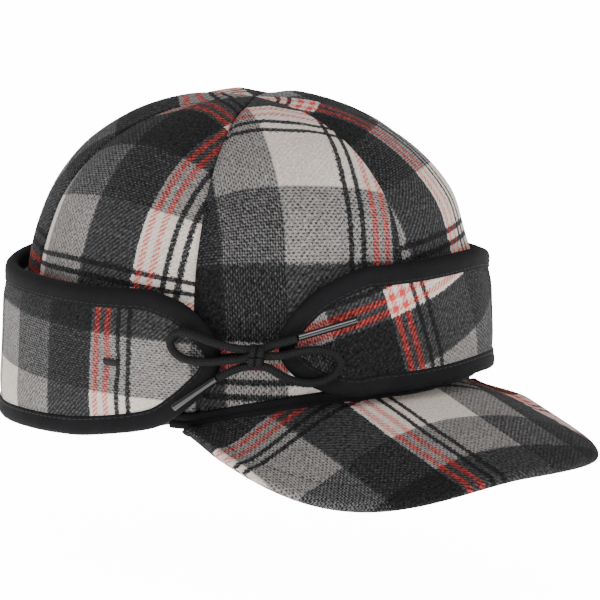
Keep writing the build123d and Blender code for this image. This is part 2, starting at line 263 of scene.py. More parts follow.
# ---------------------------------------------------------------- materials
class Nodes:
    """A short way to build a node tree: each call adds a node and links its inputs."""

    def __init__(self, name):
        self.material = bpy.data.materials.new(name)
        self.material.use_nodes = True
        self.tree = self.material.node_tree
        self.tree.nodes.clear()
        self.out = self.tree.nodes.new("ShaderNodeOutputMaterial")

    def put(self, socket, value):
        if isinstance(value, bpy.types.NodeSocket):
            self.tree.links.new(value, socket)
        elif value is not None:
            socket.default_value = value

    def math(self, operation, a, b=None, c=None, clamp=False):
        node = self.tree.nodes.new("ShaderNodeMath")
        node.operation = operation
        node.use_clamp = clamp
        for socket, value in zip(node.inputs, (a, b, c)):
            self.put(socket, value)
        return node.outputs[0]

    def mix(self, factor, a, b, blend="MIX"):
        node = self.tree.nodes.new("ShaderNodeMix")
        node.data_type = "RGBA"
        node.blend_type = blend
        self.put(node.inputs["Factor"], factor)
        self.put(node.inputs[6], a)
        self.put(node.inputs[7], b)
        return node.outputs[2]

    def noise(self, vector, scale, detail=2.0, roughness=0.5):
        node = self.tree.nodes.new("ShaderNodeTexNoise")
        self.put(node.inputs["Vector"], vector)
        node.inputs["Scale"].default_value = scale
        node.inputs["Detail"].default_value = detail
        node.inputs["Roughness"].default_value = roughness
        return node.outputs[0]

    def position(self):
        return self.tree.nodes.new("ShaderNodeTexCoord").outputs["Object"]

    def attribute(self, name):
        node = self.tree.nodes.new("ShaderNodeAttribute")
        node.attribute_name = name
        split = self.tree.nodes.new("ShaderNodeSeparateXYZ")
        self.tree.links.new(node.outputs["Vector"], split.inputs[0])
        return split.outputs[0], split.outputs[1], node.outputs["Vector"]

    def bump(self, height, strength, distance):
        node = self.tree.nodes.new("ShaderNodeBump")
        node.inputs["Strength"].default_value = strength
        node.inputs["Distance"].default_value = distance
        self.put(node.inputs["Height"], height)
        return node.outputs[0]

    def steps(self, factor, stops):
        """A stepped ramp over the plaid's repeat: each stop is (millimetres, value)."""
        node = self.tree.nodes.new("ShaderNodeValToRGB")
        node.color_ramp.interpolation = "CONSTANT"
        ramp = node.color_ramp.elements
        while len(ramp) < len(stops):
            ramp.new(1.0)
        for element, (place, value) in zip(ramp, stops):
            element.position = place * MM / REPEAT
            element.color = (value, value, value, 1)
        self.put(node.inputs[0], factor)
        return node.outputs[0]

    def surface(self, colour, roughness, normal=None, sheen=0.0, sheen_tint=(1, 1, 1, 1), specular=0.5,
                coat=0.0, glow=0.0):
        node = self.tree.nodes.new("ShaderNodeBsdfPrincipled")
        self.put(node.inputs["Base Color"], colour)
        self.put(node.inputs["Roughness"], roughness)
        node.inputs["Specular IOR Level"].default_value = specular
        node.inputs["Sheen Weight"].default_value = sheen
        node.inputs["Sheen Roughness"].default_value = 0.5
        node.inputs["Sheen Tint"].default_value = sheen_tint
        node.inputs["Coat Weight"].default_value = coat
        node.inputs["Coat Roughness"].default_value = 0.12
        node.inputs["Emission Color"].default_value = (1, 1, 1, 1)
        node.inputs["Emission Strength"].default_value = glow
        self.put(node.inputs["Normal"], normal)
        self.tree.links.new(node.outputs[0], self.out.inputs[0])
        return self.material


YARN = 0.58 * MM
CREAM = (0.40, 0.355, 0.315, 1)
PALE_GREY = (0.37, 0.37, 0.38, 1)
BLACK_YARN = (0.006, 0.006, 0.0065, 1)
# painted shade: the share of their colour that pale yarns keep where they lie among dark yarns
GAP_SHADE_MIN = 0.10
FRAY = 3.2 * MM
NAP_CONTRAST = 5.0
RED = (0.38, 0.042, 0.036, 1)
# the repeat: cream, salt and pepper, black, then a red pair and a black pair on cream
GROUND = [(0, 1.0), (27, 0.5), (56, 0.0), (84, 1.0), (97.9, 0.0), (100.7, 1.0), (103.9, 0.0), (106.7, 1.0)]
RED_LINES = [(0, 0.0), (85.7, 1.0), (88.9, 0.0), (91.7, 1.0), (94.9, 0.0)]


def yarn(n, coordinate, fray):
    """One set of yarns: its number, its ground, how white each is, and whether it is red."""
    number = n.math("FLOOR", n.math("DIVIDE", coordinate, YARN))
    frayed = n.math("MULTIPLY_ADD", number, YARN, fray)
    place = n.math("FRACT", n.math("DIVIDE", frayed, REPEAT))
    odd = n.math("MODULO", n.math("ABSOLUTE", number), 2.0)
    ground = n.steps(place, GROUND)
    white = n.math("GREATER_THAN", n.math("MULTIPLY_ADD", odd, 0.5, ground), 0.74)
    return number, ground, white, n.steps(place, RED_LINES)


def plaid_wool(name):
    n = Nodes(name)
    u, v, flat = n.attribute("cloth")
    wobble = n.noise(flat, 1000.0, 2.0)
    wobble_2 = n.noise(flat, 1400.0, 2.0)
    strand = n.noise(flat, 800.0, 4.0, 0.75)
    fuzz = n.noise(flat, 2600.0, 3.0, 0.7)
    u = n.math("MULTIPLY_ADD", n.math("SUBTRACT", wobble, 0.5), 2.6 * YARN, u)
    v = n.math("MULTIPLY_ADD", n.math("SUBTRACT", wobble_2, 0.5), 2.6 * YARN, v)
    fray = n.math("MULTIPLY", n.math("SUBTRACT", strand, 0.5), FRAY)
    warp, warp_ground, warp_white, warp_red = yarn(n, u, fray)
    weft, weft_ground, weft_white, weft_red = yarn(n, v, fray)
    turn = n.math("FLOORED_MODULO", n.math("SUBTRACT", warp, weft), 4.0)
    over = n.math("LESS_THAN", turn, 1.5)
    # painted shade: wherever the two grounds aren't both cream, the pale and red yarns are darkened to stand
    # for the shade in the gaps among the dark yarns
    plain = n.math("MULTIPLY", warp_ground, weft_ground)
    gap_shade = n.math("MULTIPLY_ADD", n.math("POWER", plain, 1.5), 1 - GAP_SHADE_MIN, GAP_SHADE_MIN)
    pale_yarn = n.mix(1.0, n.mix(plain, PALE_GREY, CREAM), gap_shade, "MULTIPLY")
    red_yarn = n.mix(1.0, RED, n.math("MULTIPLY_ADD", gap_shade, 0.35, 0.65), "MULTIPLY")
    colours = []
    for white, red in ((warp_white, warp_red), (weft_white, weft_red)):
        colours.append(n.mix(red, n.mix(white, BLACK_YARN, pale_yarn), red_yarn))
    top = n.mix(over, colours[1], colours[0])
    under = n.mix(over, colours[0], colours[1])
    felt = n.mix(n.math("MULTIPLY", strand, 0.35), top, under)
    shade = n.math("MULTIPLY_ADD", fuzz, 0.8, n.math("MULTIPLY_ADD", strand, 1.9, -0.3))
    cloud = n.noise(flat, 60.0, 3.0)
    shade = n.math("MULTIPLY", shade, n.math("MULTIPLY_ADD", cloud, 0.3, 0.85))
    colour = n.mix(1.0, felt, shade, "MULTIPLY")
    # the nap is mottled, with flecks of pale fibre over the dark yarns, except on plain cream
    mottle = n.noise(flat, 640.0, 3.0, 0.7)
    napped = n.math("SUBTRACT", 1.0, plain)
    uneven = n.math("MULTIPLY", n.math("SUBTRACT", mottle, 0.5), napped)
    colour = n.mix(1.0, colour, n.math("MULTIPLY_ADD", uneven, NAP_CONTRAST, 1.0), "MULTIPLY")
    flecks = n.math("MULTIPLY_ADD", n.noise(flat, 900.0, 3.0, 0.8), 5.0, -2.75, clamp=True)
    flecks = n.math("MULTIPLY", flecks, n.math("MULTIPLY", napped, 0.4))
    colour = n.mix(flecks, colour, (0.10, 0.10, 0.10, 1))
    diagonal = n.math("SINE", n.math("MULTIPLY", n.math("SUBTRACT", u, v), math.pi / (2 * YARN)))
    relief = n.math("MULTIPLY_ADD", diagonal, 0.35, n.math("MULTIPLY_ADD", fuzz, 1.1, strand))
    return n.surface(colour, 0.95, n.bump(relief, 0.9, 0.35 * MM), sheen=0.01,
                     sheen_tint=(0.8, 0.8, 0.8, 1), specular=0.06)


def ribbed_cloth(name, dark, light, scale, strength, sheen=0.08):
    n = Nodes(name)
    place = n.position()
    weave = n.noise(place, scale, 3.0, 0.65)
    large = n.noise(place, 90.0, 3.0)
    mixed = n.math("MULTIPLY_ADD", large, 0.45, n.math("MULTIPLY", weave, 0.55))
    colour = n.mix(mixed, dark, light)
    return n.surface(colour, 0.85, n.bump(weave, strength, 0.2 * MM), sheen=sheen, specular=0.04)


def braid(name):
    n = Nodes(name)
    u, v, flat = n.attribute("cloth")
    along = n.math("MULTIPLY", u, 2 * math.pi / BRAID_PITCH)
    around = n.math("MULTIPLY", v, BRAID_STARTS)
    first = n.math("SINE", n.math("ADD", along, around))
    second = n.math("SINE", n.math("SUBTRACT", along, around))
    strand = n.math("MULTIPLY_ADD", n.math("MAXIMUM", first, second), 0.5, 0.5, clamp=True)
    fibre = n.noise(flat, 3000.0, 2.0)
    strand = n.math("MULTIPLY_ADD", fibre, 0.35, n.math("MULTIPLY", strand, 0.8), clamp=True)
    # painted shade: the cord is darker in the grooves between the crossing strands and lighter on their
    # crests, with random fibre tone mixed in
    colour = n.mix(strand, (0.0008, 0.0008, 0.0008, 1), (0.009, 0.009, 0.0095, 1))
    return n.surface(colour, 0.6, n.bump(strand, 0.8, 0.25 * MM), sheen=0.0, specular=0.06)


def gloss(name):
    n = Nodes(name)
    haze = n.noise(n.position(), 700.0, 2.0)
    roughness = n.math("MULTIPLY_ADD", haze, 0.06, 0.06)
    colour = n.mix(haze, (0.002, 0.002, 0.002, 1), (0.008, 0.008, 0.009, 1))
    return n.surface(colour, roughness, specular=0.25, coat=0.35)


WOOL_CROWN = plaid_wool("plaid_wool_crown")
WOOL_VISOR = plaid_wool("plaid_wool_visor")
WOOL_BAND = plaid_wool("plaid_wool_earband")
TAPE = ribbed_cloth("binding_tape", (0.002, 0.002, 0.002, 1), (0.010, 0.010, 0.011, 1), 1500.0, 0.7, 0.0)
SATIN = ribbed_cloth("lining_satin", (0.012, 0.012, 0.014, 1), (0.03, 0.03, 0.034, 1), 2200.0, 0.15, 0.0)
TWILL = ribbed_cloth("sweatband_twill", (0.014, 0.014, 0.015, 1), (0.05, 0.05, 0.053, 1), 1200.0, 0.6)
FLEECE = ribbed_cloth("earband_fleece", (0.012, 0.012, 0.013, 1), (0.035, 0.035, 0.037, 1), 500.0, 1.0,
                      0.3)
BOARD = ribbed_cloth("visor_board_plastic", (0.012, 0.012, 0.012, 1), (0.025, 0.025, 0.026, 1), 300.0, 0.1,
                     0.0)
THREAD = ribbed_cloth("tack_thread", (0.006, 0.006, 0.006, 1), (0.02, 0.02, 0.021, 1), 2500.0, 0.4)
BRAID = braid("cord_braid")
AGLET = gloss("aglet_plastic")


# ---------------------------------------------------------------- crown
def crown_surface(angles, heights, inset):
    """Points of the crown, moved in by inset: angles in degrees, heights in metres up from the rim."""
    a = CROWN_A - inset
    b = CROWN_B - inset
    top = CROWN_TOP - inset
    rise = np.clip((heights - WALL_TOP) / (top - WALL_TOP), 0, 1)
    round_wall = np.sqrt(np.maximum(1 - rise**2, 0))
    full_wall = np.maximum(1 - rise**CROWN_FULLNESS, 0) ** (1 / CROWN_FULLNESS)
    above_band = smooth_step((rise - FULL_FROM) / FULL_OVER)
    shrink = round_wall + (full_wall - round_wall) * above_band
    lean = WALL_LEAN * np.clip((WALL_TOP - heights) / WALL_TOP, 0, 2)
    phi = np.radians(angles)
    forward = CROWN_FORWARD * rise * above_band
    return np.stack([-(b * shrink - lean) * np.sin(phi), -(a * shrink - lean) * np.cos(phi) - forward,
                     heights + 0 * phi], axis=-1)


def gore(first, last, inset, columns, rows, lift=0.0):
    """A panel's grid from seam to seam and from the rim to the peak.

    With it come each point's distance across and up, and its row in the flat cloth.
    """
    angles = (first + last) / 2 - np.array(columns) * (last - first) / 2
    grid = np.zeros((len(angles), rows, 3))
    up = np.zeros((len(angles), rows))
    for i, angle in enumerate(angles):
        foot_y = -CROWN_A * math.cos(math.radians(angle))
        tucked = RIM_TUCK * float(smooth_step(np.array((foot_y - RIM_TUCK_Y) / (12 * MM))))
        foot = float(height(BASE_LINE, foot_y)) + lift + tucked
        top = CROWN_TOP - inset
        rise = np.sin(np.linspace(0, math.pi / 2 * PEAK_END, 160))
        z = np.concatenate([np.linspace(foot, WALL_TOP, 60)[:-1], WALL_TOP + (top - WALL_TOP) * rise])
        line = crown_surface(np.full(len(z), angle), z, inset)
        even = resample(line, rows)
        grid[i] = even
        steps = np.linalg.norm(np.diff(even, axis=0), axis=1)
        up[i] = foot + np.concatenate([[0], np.cumsum(steps)])
    middle = len(angles) // 2
    steps = np.linalg.norm(np.diff(grid, axis=0), axis=2)
    run = np.vstack([np.zeros(rows), np.cumsum(steps, axis=0)])
    across = run - run[middle]
    # the cloth was cut flat, so its rows run straight over a gore that narrows to the peak
    radius = np.hypot(grid[middle, :, 0], grid[middle, :, 1])
    bend = np.maximum(-np.gradient(radius, up[middle]), 0) / np.maximum(radius, 4 * MM)
    return grid, across, up, up + across**2 * bend / 2


SEAM_COLUMNS = [0, 0.15, 0.3, 0.45, 0.58, 0.7, 0.79, 0.86, 0.91, 0.945, 0.965, 0.98, 0.99, 0.996, 1.0]
COLUMNS = [-c for c in reversed(SEAM_COLUMNS[1:])] + SEAM_COLUMNS


def wrinkles(points, amount, seed):
    """Low swells in cloth: a sum of a few waves in fixed directions."""
    rng = np.random.default_rng(seed)
    total = np.zeros(points.shape[:-1])
    for k in range(6):
        direction = rng.normal(size=3)
        direction /= np.linalg.norm(direction)
        length = rng.uniform(22, 60) * MM
        total += np.sin(points @ direction * 2 * math.pi / length + rng.uniform(0, 6.28))
    return total / 6 * amount


def crown_panels():
    for seed, (name, first, last) in enumerate(PANELS):
        grid, across, up, row = gore(first, last, 0.0, COLUMNS, 90)
        normal = grid_normals(grid)
        half = np.abs(across[0] - across[-1])[None, :] / 2
        edge = np.maximum(half - np.abs(across), 0)
        width = np.minimum(SEAM_WIDTH, 0.45 * half)
        fold = 1 - np.clip(edge / width, 0, 1)
        dip = SEAM_DIP * (1 - np.sqrt(np.maximum(1 - fold**2, 0)))
        rim = smooth_step((up - up[:, :1] - 6 * MM) / (14 * MM))
        puff = PANEL_PUFF * smooth_step(edge / (16 * MM)) * rim
        swell = wrinkles(grid, 0.5 * MM, seed + 3) * smooth_step(edge / (10 * MM)) * rim
        outer = grid + normal * (puff - dip + swell)[..., None]
        inner = grid - normal * (WOOL * 0.8)
        cloth = plaid_coords(name, across, row)
        verts, faces = shell_mesh(outer, inner)
        piece = add_mesh("crown_" + name, verts, faces, WOOL_CROWN, "crown",
                         ["crown_panel_" + name], np.vstack([cloth.reshape(-1, 2)] * 2))
        fix_normals(piece)

        grid, across, up, _ = gore(first, last, LINING_DEPTH, COLUMNS[::2], 40, 1 * MM)
        normal = grid_normals(grid)
        swell = wrinkles(grid, 0.35 * MM, seed + 20)
        verts, faces = shell_mesh(grid, grid - normal * (0.5 * MM + np.abs(swell))[..., None])
        piece = add_mesh("lining_" + name, verts, faces, SATIN, "crown",
                         ["lining_panel_" + name])
        fix_normals(piece)


def ring_profile(name, profile, angles, foot_line, inset, material, replaced, closed):
    """A band round the crown's wall: profile is (up from the line, out from the wall)."""
    rows = []
    for angle in angles:
        foot = float(height(foot_line, -CROWN_A * math.cos(math.radians(angle))))
        ring = []
        for up, out in profile:
            ring.append(crown_surface(np.array([angle]), np.array([foot + up]), inset - out)[0])
        rows.append(ring)
    grid = np.array(rows)
    verts = grid.reshape(-1, 3)
    faces = grid_faces(len(angles), len(profile), 0, False, closed, True)
    if not closed:
        faces.append(tuple(range(len(profile))))
        last = (len(angles) - 1) * len(profile)
        faces.append(tuple(last + i for i in reversed(range(len(profile)))))
    piece = add_mesh(name, verts, faces, material, "crown", replaced)
    fix_normals(piece)
    return piece, grid


def crown_trims():
    tall = SWEATBAND_HEIGHT
    profile = [(1 * MM, 0), (1 * MM, -1.2 * MM), (3 * MM, -1.5 * MM), (4 * MM, -1.2 * MM),
               (tall * 0.5, -1.5 * MM), (tall - 3 * MM, -1.5 * MM), (tall - 1.5 * MM, -1.8 * MM),
               (tall - 0.3 * MM, -1.6 * MM),
               (tall, -0.9 * MM), (tall - 0.3 * MM, -0.3 * MM), (tall * 0.5, 0)]
    angles = np.linspace(0, 360, 181)[:-1]
    band, grid = ring_profile("sweatband_lining", profile, angles, BASE_LINE, SWEATBAND_DEPTH, TWILL,
                              ["sweatband"], True)
    ridge = []
    for k in range(25):
        turn = k / 24
        up = (-2.6 + 7.4 * turn) * MM
        out = 0.6 * MM + 0.9 * MM * abs(math.sin(2 * math.pi * turn)) ** 0.6
        ridge.append((up, out))
    profile = ridge + [(4.8 * MM, 0.1 * MM), (-2.6 * MM, 0.1 * MM)]
    end = math.degrees(math.acos(-BINDING_END_Y / CROWN_A))
    ring_profile("brow_binding", profile, np.linspace(-end, end, 160), BINDING_LINE, 0.0, TAPE,
                 ["crown_base_binding"], False)


# ---------------------------------------------------------------- visor
def visor_lines(q):
    """The visor's root and free edge in space: q runs from -1 to 1 round the brow."""
    turn = VISOR_ROOT_ANGLE * q
    phi = np.radians(turn)
    base = height(BASE_LINE, -CROWN_A * np.cos(phi))
    out = VISOR_ROOT_OUT - WALL_LEAN * (WALL_TOP - base) / WALL_TOP
    root = np.stack([-(CROWN_B + out) * np.sin(phi), -(CROWN_A + out) * np.cos(phi),
                     base - VISOR_ROOT_BELOW], -1)
    turn = np.radians(90 * q)
    x = -VISOR_HALF_WIDTH * np.sign(q) * np.abs(np.sin(turn)) ** VISOR_SIDE_POWER
    y = VISOR_CORNER_Y - (VISOR_TIP + VISOR_CORNER_Y) * np.abs(np.cos(turn)) ** VISOR_TIP_POWER
    arch = VISOR_ARCH - np.sqrt(VISOR_ARCH**2 - x**2)
    z = VISOR_CENTRE_Z + (CROWN_A + y) * math.tan(VISOR_SLOPE) - arch / math.cos(VISOR_SLOPE)
    ease = smooth_step((y - VISOR_CORNER_Y + VISOR_CORNER_SPAN) / VISOR_CORNER_SPAN)
    x = x + np.sign(q) * VISOR_CORNER_TUCK * ease
    sag = np.where(q > 0, VISOR_SAG[0], VISOR_SAG[1]) * np.sin(np.pi * np.abs(q)) ** 1.5
    return root, np.stack([x, y, z - VISOR_CORNER_DROP * ease - sag], -1)


def visor_grid(count, profile):
    """profile gives (share of the way out, offset outwards, depth) for each row of the grid."""
    turn = np.linspace(-1, 1, 4 * count)
    q = np.sign(turn) * np.abs(turn) ** 0.8
    root, edge = visor_lines(q)
    steps = np.linalg.norm(np.diff(edge, axis=0), axis=1)
    along = np.concatenate([[0], np.cumsum(steps)])
    spread = np.linspace(0, along[-1], count)
    root = np.stack([np.interp(spread, along, root[:, k]) for k in range(3)], axis=1)
    edge = np.stack([np.interp(spread, along, edge[:, k]) for k in range(3)], axis=1)
    # the ends roll over as the free edge does
    turns = np.radians([100, 80, 60, 40, 20])
    half = VISOR_THICK / 2
    sides = []
    for first, second in ((0, 1), (-1, -2)):
        away = edge[first] - root[first]
        push = np.array([away[1], -away[0], 0.0])
        push *= np.sign(push @ (root[first] - root[second])) / np.linalg.norm(push)
        sides.append(push[None] * (VISOR_BULGE * np.sin(turns))[:, None])
    root, edge = [np.vstack([line[:1] + sides[0], line, line[-1:] + sides[1][::-1]]) for line in (root, edge)]
    ease = np.concatenate([1 - np.cos(turns), np.zeros(count), 1 - np.cos(turns[::-1])])[:, None]
    outward = (edge - root) / np.linalg.norm(edge - root, axis=1, keepdims=True)
    drop = np.array([0, 0, -1 / math.cos(VISOR_SLOPE)])
    rows = []
    for share, offset, depth in profile:
        sunk = drop * (depth + (half - depth) * ease)
        rows.append(root + (edge - root) * share + outward * offset + sunk)
    return np.stack(rows, axis=1)


def visor_cloth(grid, flat_rows):
    """Plaid coordinates that follow the cloth round the visor's edge."""
    plan = grid[..., :2].copy()
    edge = plan[:, flat_rows - 1]
    out = edge - plan[:, flat_rows - 2]
    out /= np.linalg.norm(out, axis=1, keepdims=True)
    steps = np.linalg.norm(np.diff(grid[:, flat_rows - 1:], axis=1), axis=2)
    arc = np.cumsum(steps, axis=1)
    plan[:, flat_rows:] = edge[:, None] + out[:, None] * arc[..., None]
    return plaid_coords("visor", plan[..., 0], -plan[..., 1] / math.cos(VISOR_SLOPE))


def visor_layer(shares, depth, turns):
    """A cover's grid: flat along the shares, then rolled round the free edge through the turns."""
    half = VISOR_THICK / 2
    profile = [(share, -half, depth) for share in shares]
    for turn in np.radians(turns):
        profile.append((1.0, -half + VISOR_BULGE * math.sin(turn), half - half * math.cos(turn)))
    grid = visor_grid(161, profile)
    normal = grid_normals(grid)
    return grid, normal * np.sign(normal[:, :1, 2:3].mean())


def visor_cover(name, outer, inner, middle, flat_rows, node):
    cloth = visor_cloth(middle, flat_rows)
    verts, faces = shell_mesh(outer, inner)
    piece = add_mesh(name, verts, faces, WOOL_VISOR, "crown", [node],
                     np.vstack([cloth.reshape(-1, 2)] * 2))
    fix_normals(piece)


def visor():
    half = VISOR_THICK / 2
    shares = np.linspace(0, 1, 56)
    top, normal = visor_layer(shares, 0.0, [15, 30, 45, 60, 75, 90, 105])
    edge_top = top[:, len(shares) - 1]
    distance = np.linalg.norm(top - edge_top[:, None, :], axis=2)
    inside = np.arange(top.shape[1])[None, :] < len(shares)
    stitched = np.exp(-((distance - VISOR_STITCH) / (0.9 * MM)) ** 2) * inside
    puff = wrinkles(top, 0.35 * MM, 5) * smooth_step(distance / (6 * MM)) * inside
    outer = top + normal * (puff - 0.45 * MM * stitched)[..., None]
    visor_cover("visor_top", outer, top - normal * (0.9 * MM), top, len(shares), "visor_top_cover")
    low, normal = visor_layer(shares[::2], VISOR_THICK, [165, 150, 135, 120, 106])
    visor_cover("visor_under", low, low + normal * (0.8 * MM), low, len(shares[::2]), "visor_under_cover")
    board = visor_grid(81, [(share, 0.0, half) for share in np.linspace(0.04, 0.95, 14)])[8:-8]
    normal = grid_normals(board)
    verts, faces = shell_mesh(board + normal * (0.6 * MM), board - normal * (0.6 * MM))
    piece = add_mesh("visor_stiffener", verts, faces, BOARD, "crown", ["visor_board"])
    fix_normals(piece)
    rows = []
    for i in range(outer.shape[0]):
        order = np.argsort(distance[i, :len(shares)])
        rows.append([np.interp(VISOR_STITCH, distance[i, order], outer[i, order, k]) for k in range(3)])
    line = np.array(rows)[distance[:, 0] > VISOR_STITCH + 2 * MM]
    stitches("visor_stitches", line, 3.2 * MM, 0.9 * MM, 0.22 * MM, THREAD, "crown")


def stitches(name, line, length, gap, radius, material, body):
    """A row of short thread stitches along a line, as one piece."""
    steps = np.linalg.norm(np.diff(line, axis=0), axis=1)
    along = np.concatenate([[0], np.cumsum(steps)])
    count = int(along[-1] // (length + gap))
    verts = []
    faces = []
    sides = 6
    for k in range(count):
        start = k * (length + gap)
        ring_places = [0, 0.12, 0.5, 0.88, 1.0]
        ring_sizes = [0.35, 0.9, 1.0, 0.9, 0.35]
        spots = [np.array([np.interp(start + length * p, along, line[:, c]) for c in range(3)])
                 for p in ring_places]
        ahead = spots[-1] - spots[0]
        ahead /= np.linalg.norm(ahead)
        side = np.cross(ahead, (0.0, 0.0, 1.0))
        side /= np.linalg.norm(side)
        rise = np.cross(side, ahead)
        base = len(verts)
        for spot, size in zip(spots, ring_sizes):
            for s in range(sides):
                turn = 2 * math.pi * s / sides
                verts.append(spot + radius * size * (side * math.cos(turn) + rise * math.sin(turn)))
        faces += grid_faces(len(spots), sides, base, False, False, True)
        faces.append(tuple(base + s for s in range(sides)))
        faces.append(tuple(base + (len(spots) - 1) * sides + s for s in reversed(range(sides))))
    piece = add_mesh(name, np.array(verts), faces, material, body)
    fix_normals(piece)
    return piece


# ---------------------------------------------------------------- earband
CROSSING = (66.5 * MM, 61.6 * MM)
CROSSING_TURN = math.radians(16)


def turned(side, ahead, up):
    """The left half is cut with its plaid turned, about the place where its red pairs cross."""
    if side == "right":
        return ahead, up
    x = ahead - CROSSING[0]
    z = up - CROSSING[1]
    cos = math.cos(CROSSING_TURN)
    sin = math.sin(CROSSING_TURN)
    return CROSSING[0] + cos * x + sin * z, CROSSING[1] + cos * z - sin * x


ANGLES = np.linspace(-30, 430, 1841)


def band_plan(angles, z, out=0.0):
    a = BAND_A + BAND_LEAN * z
    b = a * BAND_RATIO
    phi = np.radians(angles)
    nx = -np.sin(phi) / b
    ny = -np.cos(phi) / a
    size = np.sqrt(nx**2 + ny**2)
    return np.stack([-b * np.sin(phi) + out * nx / size, BAND_SHIFT - a * np.cos(phi) + out * ny / size,
                     z + 0 * phi], axis=-1)


MIDDLE = band_plan(ANGLES, 40 * MM)
ARC = np.concatenate([[0], np.cumsum(np.linalg.norm(np.diff(MIDDLE, axis=0), axis=1))])


def bow_frame():
    a = BAND_A - BOW_DEPTH
    b = a * BAND_RATIO
    phi = math.radians(BOW_ANGLE)
    normal = np.array([-math.sin(phi) / b, -math.cos(phi) / a, 0])
    normal /= np.linalg.norm(normal)
    ahead = np.array([-normal[1], normal[0], 0])
    origin = np.array([-b * math.sin(phi), BAND_SHIFT - a * math.cos(phi), 0])
    return origin, ahead, normal


BOW_ORIGIN, BOW_AHEAD, BOW_OUT = bow_frame()


def bow_point(point):
    x, z, w = [value * MM for value in point]
    return BOW_ORIGIN + BOW_AHEAD * x + BOW_OUT * w + np.array([0, 0, z])


def arc_of_angle(angle):
    return np.interp(angle, ANGLES, ARC)


def arc_of_bow(x, turn=0.0):
    """Arc place of a point x (metres) ahead of the bow; turn adds a whole turn for the front lobe."""
    near = (ANGLES > BOW_ANGLE - 60) & (ANGLES < BOW_ANGLE + 60)
    ahead = (MIDDLE[near] - BOW_ORIGIN) @ BOW_AHEAD
    angle = np.interp(-x, -ahead, ANGLES[near])
    return np.interp(angle + turn, ANGLES, ARC)


def on_band(flat, out):
    """Points of the band from (arc, height), moved out from its surface."""
    angle = np.interp(flat[..., 0], ARC, ANGLES)
    return band_plan(angle, flat[..., 1], out)


def band_edges():
    """The band's upper and lower edges as (arc, height), both from the back lobe's tip to the front's."""
    back = [(arc_of_bow(x * MM), z * MM) for x, z in LOBE_BACK]
    front = [(arc_of_bow(x * MM, 360), z * MM) for x, z in LOBE_FRONT]
    middle_top = []
    middle_low = []
    for angle in range(84, 376, 8):
        y = float(band_plan(np.array([float(angle)]), 60 * MM)[0, 1])
        middle_top.append((arc_of_angle(angle), float(height(BAND_TOP, y))))
        y = float(band_plan(np.array([float(angle)]), 10 * MM)[0, 1])
        middle_low.append((arc_of_angle(angle), float(height(BAND_BOTTOM, y))))
    top = back[TIP:0:-1] + middle_top + front[1:TIP + 1]
    low = back[TIP:-1] + middle_low + front[-2:TIP - 1:-1]
    top = sorted_run(top)
    low = sorted_run(low)
    return through(top, 500), through(low, 500)


def sorted_run(points):
    """Drops points that would turn back along the band."""
    run = [points[0]]
    for point in points[1:]:
        if point[0] > run[-1][0] + 2 * MM or len(run) < 4:
            run.append(point)
    return run


def binding_line(top, low):
    loop = np.vstack([top, low[::-1][1:-1]])
    loop = np.vstack([loop, loop[:1]])
    loop = resample(loop, 1101)[:-1]
    for _ in range(3):
        loop = 0.25 * np.roll(loop, 1, axis=0) + 0.5 * loop + 0.25 * np.roll(loop, -1, axis=0)
    return loop


def loop_inward(loop):
    tangent = np.roll(loop, -1, axis=0) - np.roll(loop, 1, axis=0)
    tangent /= np.linalg.norm(tangent, axis=1, keepdims=True)
    return np.stack([tangent[:, 1], -tangent[:, 0]], axis=1)


